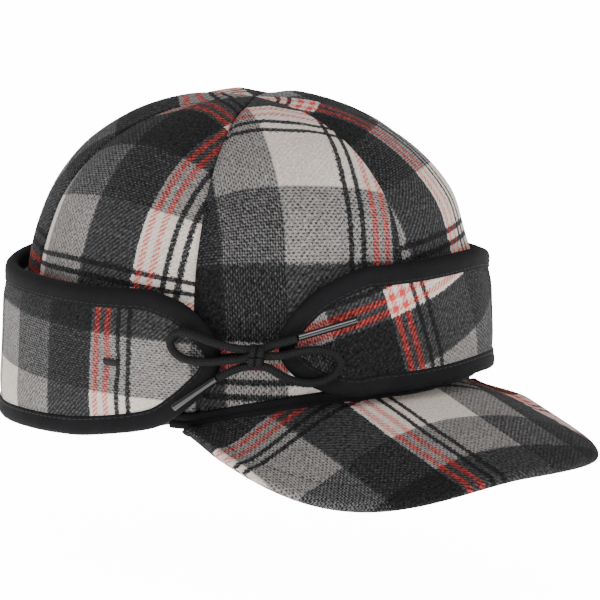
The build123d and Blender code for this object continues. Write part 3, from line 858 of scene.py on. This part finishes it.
def earband():
    top, low = band_edges()
    loop = binding_line(top, low)
    inward = loop_inward(loop)
    centre = np.array([loop[:, 0].mean(), 35 * MM])
    if np.mean(np.einsum("ij,ij->i", inward, centre - loop)) < 0:
        inward = -inward
    # the tape narrows round the tips, where the lobes are as narrow as it is
    turn = np.roll(inward, -6, axis=0) - np.roll(inward, 6, axis=0)
    bend = np.linalg.norm(turn, axis=1) / (12 * np.linalg.norm(loop[1] - loop[0]))
    room = np.minimum(TRIM_WIDTH, 0.8 / np.maximum(bend, 1e-6))
    for _ in range(40):
        room = np.minimum(room, 0.25 * np.roll(room, 1) + 0.5 * room + 0.25 * np.roll(room, -1))
    share = room / TRIM_WIDTH
    profile = [(8.0, 0.15), (7.85, 0.55), (7.4, 0.75), (6.6, 0.62), (6.0, 0.72), (4.5, 0.95), (2.8, 0.95),
               (1.2, 0.6), (0.2, -0.3), (-0.35, -1.4), (-0.45, -2.2), (-0.35, -3.0), (0.2, -4.1), (1.2, -4.9),
               (3.5, -5.1), (6.5, -5.0), (7.8, -4.8), (8.0, -4.4), (7.6, -4.2), (1.6, -4.0), (0.9, -2.2),
               (1.6, -0.4), (7.6, -0.1)]
    rows = []
    for m, out in profile:
        flat = loop + inward * (m * MM * share)[:, None]
        rows.append(on_band(flat, out * MM))
    grid = np.stack(rows, axis=1)
    verts = grid.reshape(-1, 3)
    faces = grid_faces(len(loop), len(profile), 0, False, True, True)
    piece = add_mesh("earband_trim", verts, faces, TAPE, "earband", ["earband_binding"])
    fix_normals(piece)
    seam = on_band(loop + inward * (6.7 * MM * share)[:, None], 0.62 * MM)
    stitches("earband_trim_stitches", np.vstack([seam, seam[:1]]), 2.6 * MM, 0.9 * MM, 0.2 * MM, THREAD,
             "earband")

    back_seam = arc_of_angle(180)
    for name, material, slot, depth_out, depth_in, puff in (
            ("earband_wool", WOOL_BAND, "plaid_wool_earband", 0.0, -1.9, 1.1),
            ("earband_inside", FLEECE, "earband_fleece", -2.4, -4.4, 0.0)):
        for side in ("right", "left"):
            share_u = np.linspace(0, 1, 150)
            places = np.linspace(0, 1, len(top))
            pairs = np.array([[[np.interp(s, places, line[:, k]) for k in range(2)] for line in (top, low)]
                              for s in share_u])
            arcs = pairs[:, :, 0].mean(axis=1)
            split = np.interp(back_seam, arcs, share_u)
            span = (0.006, split) if side == "right" else (split, 0.994)
            fresh = np.linspace(span[0], span[1], 150)
            ruled = np.array([[[np.interp(s, share_u, pairs[:, e, k]) for k in range(2)] for e in range(2)]
                              for s in fresh])
            steps = np.linspace(0, 1, 30)[None, :, None]
            flat = ruled[:, 1:2] * (1 - steps) + ruled[:, 0:1] * steps
            tall = np.linalg.norm(ruled[:, 0] - ruled[:, 1], axis=1)[:, None]
            down = np.minimum(steps[..., 0], 1 - steps[..., 0]) * tall
            # the cloth ends under the tape
            pull = np.clip((3 * MM - down) / np.maximum(tall, 1e-6), 0, 0.45)
            shift = np.where(steps[..., 0] < 0.5, pull, -pull)
            flat = flat + (ruled[:, 0:1] - ruled[:, 1:2]) * shift[..., None]
            seam_near = np.abs(flat[..., 0] - back_seam)
            body_puff = puff * MM * smooth_step((down - 5 * MM) / (12 * MM))
            body_puff = body_puff * smooth_step(seam_near / (6 * MM))
            swell = dip = 0
            if puff:
                swell = wrinkles(on_band(flat, 0.0), 0.5 * MM, 31) * smooth_step((down - 6 * MM) / (10 * MM))
                dip = 1.2 * MM * (1 - smooth_step(seam_near / (1.6 * MM)))
            tacked = np.hypot(flat[..., 0] - arc_of_angle(TACK_ANGLE), flat[..., 1] - TACK_Z)
            loft = smooth_step((tacked - 3 * MM) / (7 * MM))
            outer = on_band(flat, depth_out * MM + (body_puff + swell) * loft - dip)
            inner = on_band(flat, depth_in * MM)
            verts, faces = shell_mesh(outer, inner)
            cloth = None
            if puff:
                ahead = arc_of_bow(0.0, 360 if side == "left" else 0) - flat[..., 0]
                cloth = plaid_coords("earband_" + side, *turned(side, ahead, flat[..., 1]))
                cloth = np.vstack([cloth.reshape(-1, 2)] * 2)
            node = "earband_outer_" + side if puff else "earband_lining_" + side
            piece = add_mesh(name + "_" + side, verts, faces, material, "earband", [node], cloth)
            fix_normals(piece)


# ---------------------------------------------------------------- bow
def spline(name, points):
    curve = bpy.data.curves.new(name, "CURVE")
    curve.dimensions = "3D"
    line = curve.splines.new("NURBS")
    line.points.add(len(points) - 1)
    for target, point in zip(line.points, points):
        target.co = (*bow_point(point), 1.0)
    line.order_u = 3
    line.use_endpoint_u = True
    line.resolution_u = 24
    holder = bpy.data.objects.new(name + "_route", curve)
    mesh = bpy.data.meshes.new_from_object(holder)
    path = np.array([tuple(v.co) for v in mesh.vertices])
    bpy.data.objects.remove(holder)
    bpy.data.curves.remove(curve)
    bpy.data.meshes.remove(mesh)
    return path


def braided_tube(path, radius, step=0.16 * MM, sides=28):
    """A round braid along a path: two sets of strands that cross."""
    length = float(np.linalg.norm(np.diff(path, axis=0), axis=1).sum())
    line = resample(path, max(int(length / step), 12))
    tangent = np.gradient(line, axis=0)
    tangent /= np.linalg.norm(tangent, axis=1, keepdims=True)
    side = np.cross(tangent[0], BOW_OUT)
    side /= np.linalg.norm(side)
    verts = []
    cloth = []
    turns = np.arange(sides) / sides * 2 * math.pi
    along = np.linspace(0, length, len(line))
    for i, spot in enumerate(line):
        side = side - tangent[i] * np.dot(side, tangent[i])
        side /= np.linalg.norm(side)
        up = np.cross(tangent[i], side)
        wave = 2 * math.pi * along[i] / BRAID_PITCH
        ridge = np.maximum(np.sin(wave + BRAID_STARTS * turns), np.sin(wave - BRAID_STARTS * turns))
        size = radius * (0.955 + 0.045 * ridge)
        verts.append(spot + size[:, None] * (np.cos(turns)[:, None] * side + np.sin(turns)[:, None] * up))
        cloth.append(np.stack([np.full(sides, along[i]), turns], axis=1))
    verts = np.vstack(verts)
    faces = grid_faces(len(line), sides, 0, False, False, True)
    faces.append(tuple(range(sides)))
    last = (len(line) - 1) * sides
    faces.append(tuple(last + s for s in reversed(range(sides))))
    return verts, faces, np.vstack(cloth), line, length


def bow():
    for name, route, nodes, aglet in (
            ("tie_cord_back", LEAD_BACK + LOOP_FRONT + TAIL_BACK,
             ["tie_lead_back", "tie_loop_front", "tie_tail_back"], "aglet_back"),
            ("tie_cord_front", LEAD_FRONT + LOOP_BACK + TAIL_FRONT,
             ["tie_lead_front", "tie_loop_back", "tie_tail_front"], "aglet_front")):
        path = spline(name, route)
        verts, faces, cloth, line, length = braided_tube(path, CORD / 2)
        cord = add_mesh(name, verts, faces, BRAID, "earband", nodes, cloth)
        fix_normals(cord)
        finish_cad(aglet, AGLET)
    knot()


def knot():
    """The strand that wraps the middle of the bow, and the one it crosses."""
    x, z, w = KNOT_CENTRE
    loops = []
    for shift, lean, wide, tall in ((-1.6, 0.15, 2.4, 3.4), (1.6, 0.15, 2.4, 3.3)):
        ring = []
        for k in range(12):
            turn = 2 * math.pi * k / 12
            ring.append((x + shift + lean * tall * math.sin(turn), z + tall * math.sin(turn),
                         w + 0.2 + wide * math.cos(turn)))
        loops.append(ring)
    verts = []
    faces = []
    cloth = []
    for ring in loops:
        line = np.array([bow_point(p) for p in ring + ring[:1]])
        closed = through([tuple(p) for p in line], 140)
        v, f, c, _, _ = braided_tube(closed, 1.7 * MM, step=0.2 * MM, sides=20)
        faces += [tuple(i + len(verts) for i in face) for face in f]
        verts += list(v)
        cloth += list(c)
    piece = add_mesh("knot_wraps", np.array(verts), faces, BRAID, "earband", ["tie_knot"],
                     np.array(cloth))
    fix_normals(piece)


def bar_tack():
    """A dense bar of thread on the right half of the earband."""
    rng = np.random.default_rng(12)
    middle = np.array([arc_of_angle(TACK_ANGLE), TACK_Z])
    verts = []
    faces = []
    for k in range(16):
        across = (k - 7.5) * 0.48 * MM
        reach = (1.1 + 0.25 * rng.random()) * MM
        ends = np.linspace(-1, 1, 9)
        flat = middle + np.stack([across + 0.2 * MM * ends, reach * ends], axis=1)
        out = 0.45 * MM + 0.55 * MM * np.sqrt(1 - ends**2)
        line = on_band(flat, out)
        v, f, _, _, _ = braided_tube(line, 0.33 * MM, step=0.15 * MM, sides=8)
        faces += [tuple(i + len(verts) for i in face) for face in f]
        verts += list(v)
    piece = add_mesh("bar_tack_thread", np.array(verts), faces, THREAD, "earband",
                     ["bar_tack"])
    fix_normals(piece)


def finish_cad(node, material):
    for slot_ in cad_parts[node].material_slots:
        slot_.material = material


# ---------------------------------------------------------------- stage
FLOOR_GLOW = 3.4
FLOOR_BELOW = 60 * MM
FLOOR_RADIUS = 15.0
WORLD_LIGHT = 0.7
WORLD_SEEN = 14.0
LAMPS = [("key", (-0.9, -0.9, 1.3), 0.9, 26), ("fill", (0.9, -1.2, 0.6), 1.2, 10),
         ("back", (0.4, 1.2, 1.2), 0.9, 12)]
CAMERA_TURN = -40.0
CAMERA_LIFT = 11.0
CAMERA_DISTANCE = 3.0
CAMERA_TARGET = (0.0, 0.0, 0.0445)
CAMERA_ASIDE = 21.4 * MM
VIEW_WIDTH = 262 * MM
SENSOR = 36


def pale_floor():
    """Pale paper, white to the camera; its underside is clear, so it hides nothing from below."""
    n = Nodes("floor_paper")
    paper = n.mix(n.noise(n.position(), 3.0), (0.90, 0.90, 0.90, 1), (0.92, 0.92, 0.92, 1))
    n.surface(paper, 0.9, specular=0.1, glow=FLOOR_GLOW)
    ray = n.tree.nodes.new("ShaderNodeLightPath")
    glow = n.math("MULTIPLY_ADD", ray.outputs["Is Camera Ray"], WORLD_SEEN - FLOOR_GLOW, FLOOR_GLOW)
    seen = n.out.inputs[0].links[0].from_socket
    n.put(seen.node.inputs["Emission Strength"], glow)
    clear = n.tree.nodes.new("ShaderNodeBsdfTransparent")
    side = n.tree.nodes.new("ShaderNodeNewGeometry")
    pick = n.tree.nodes.new("ShaderNodeMixShader")
    n.tree.links.new(side.outputs["Backfacing"], pick.inputs[0])
    n.tree.links.new(seen, pick.inputs[1])
    n.tree.links.new(clear.outputs[0], pick.inputs[2])
    n.tree.links.new(pick.outputs[0], n.out.inputs[0])
    return n.material


def white_world():
    """An even studio light that the camera sees as white."""
    world = bpy.data.worlds.new("studio")
    world.use_nodes = True
    tree = world.node_tree
    light = tree.nodes["Background"]
    light.inputs[0].default_value = (1, 1, 1, 1)
    light.inputs[1].default_value = WORLD_LIGHT
    seen = tree.nodes.new("ShaderNodeBackground")
    seen.inputs[0].default_value = (1, 1, 1, 1)
    seen.inputs[1].default_value = WORLD_SEEN
    ray = tree.nodes.new("ShaderNodeLightPath")
    pick = tree.nodes.new("ShaderNodeMixShader")
    tree.links.new(ray.outputs["Is Camera Ray"], pick.inputs[0])
    tree.links.new(light.outputs[0], pick.inputs[1])
    tree.links.new(seen.outputs[0], pick.inputs[2])
    tree.links.new(pick.outputs[0], tree.nodes["World Output"].inputs[0])
    bpy.context.scene.world = world


def stage():
    floor_z = CAD_BOX[0][2] - FLOOR_BELOW
    turns = np.radians(np.arange(0, 360, 5))
    rim = [(FLOOR_RADIUS * math.cos(t), FLOOR_RADIUS * math.sin(t), floor_z) for t in turns]
    mesh = bpy.data.meshes.new("floor")
    mesh.from_pydata(rim, [], [tuple(range(len(rim)))])
    floor = bpy.data.objects.new("floor", mesh)
    bpy.context.scene.collection.objects.link(floor)
    floor.data.materials.append(pale_floor())
    white_world()
    for name, place, size, power in LAMPS:
        light = bpy.data.lights.new(name, "AREA")
        light.shape = "DISK"
        light.size = size
        light.energy = power
        lamp = bpy.data.objects.new(name, light)
        lamp.location = place
        lamp.rotation_euler = (Vector((0, 0, 0.05)) - Vector(place)).to_track_quat("-Z", "Y").to_euler()
        bpy.context.scene.collection.objects.link(lamp)


def camera():
    turn = math.radians(CAMERA_TURN)
    lift = math.radians(CAMERA_LIFT)
    away = Vector((math.sin(turn) * math.cos(lift), -math.cos(turn) * math.cos(lift), math.sin(lift)))
    side = Vector((math.cos(turn), math.sin(turn), 0))
    target = Vector(CAMERA_TARGET) + side * CAMERA_ASIDE
    data = bpy.data.cameras.new("camera")
    data.sensor_width = SENSOR
    data.lens = SENSOR * CAMERA_DISTANCE / VIEW_WIDTH
    eye = bpy.data.objects.new("camera", data)
    eye.location = target + away * CAMERA_DISTANCE
    eye.rotation_euler = (-away).to_track_quat("-Z", "Y").to_euler()
    bpy.context.scene.collection.objects.link(eye)
    bpy.context.scene.camera = eye


camera()
stage()
crown_panels()
crown_trims()
visor()
earband()
bow()
bar_tack()
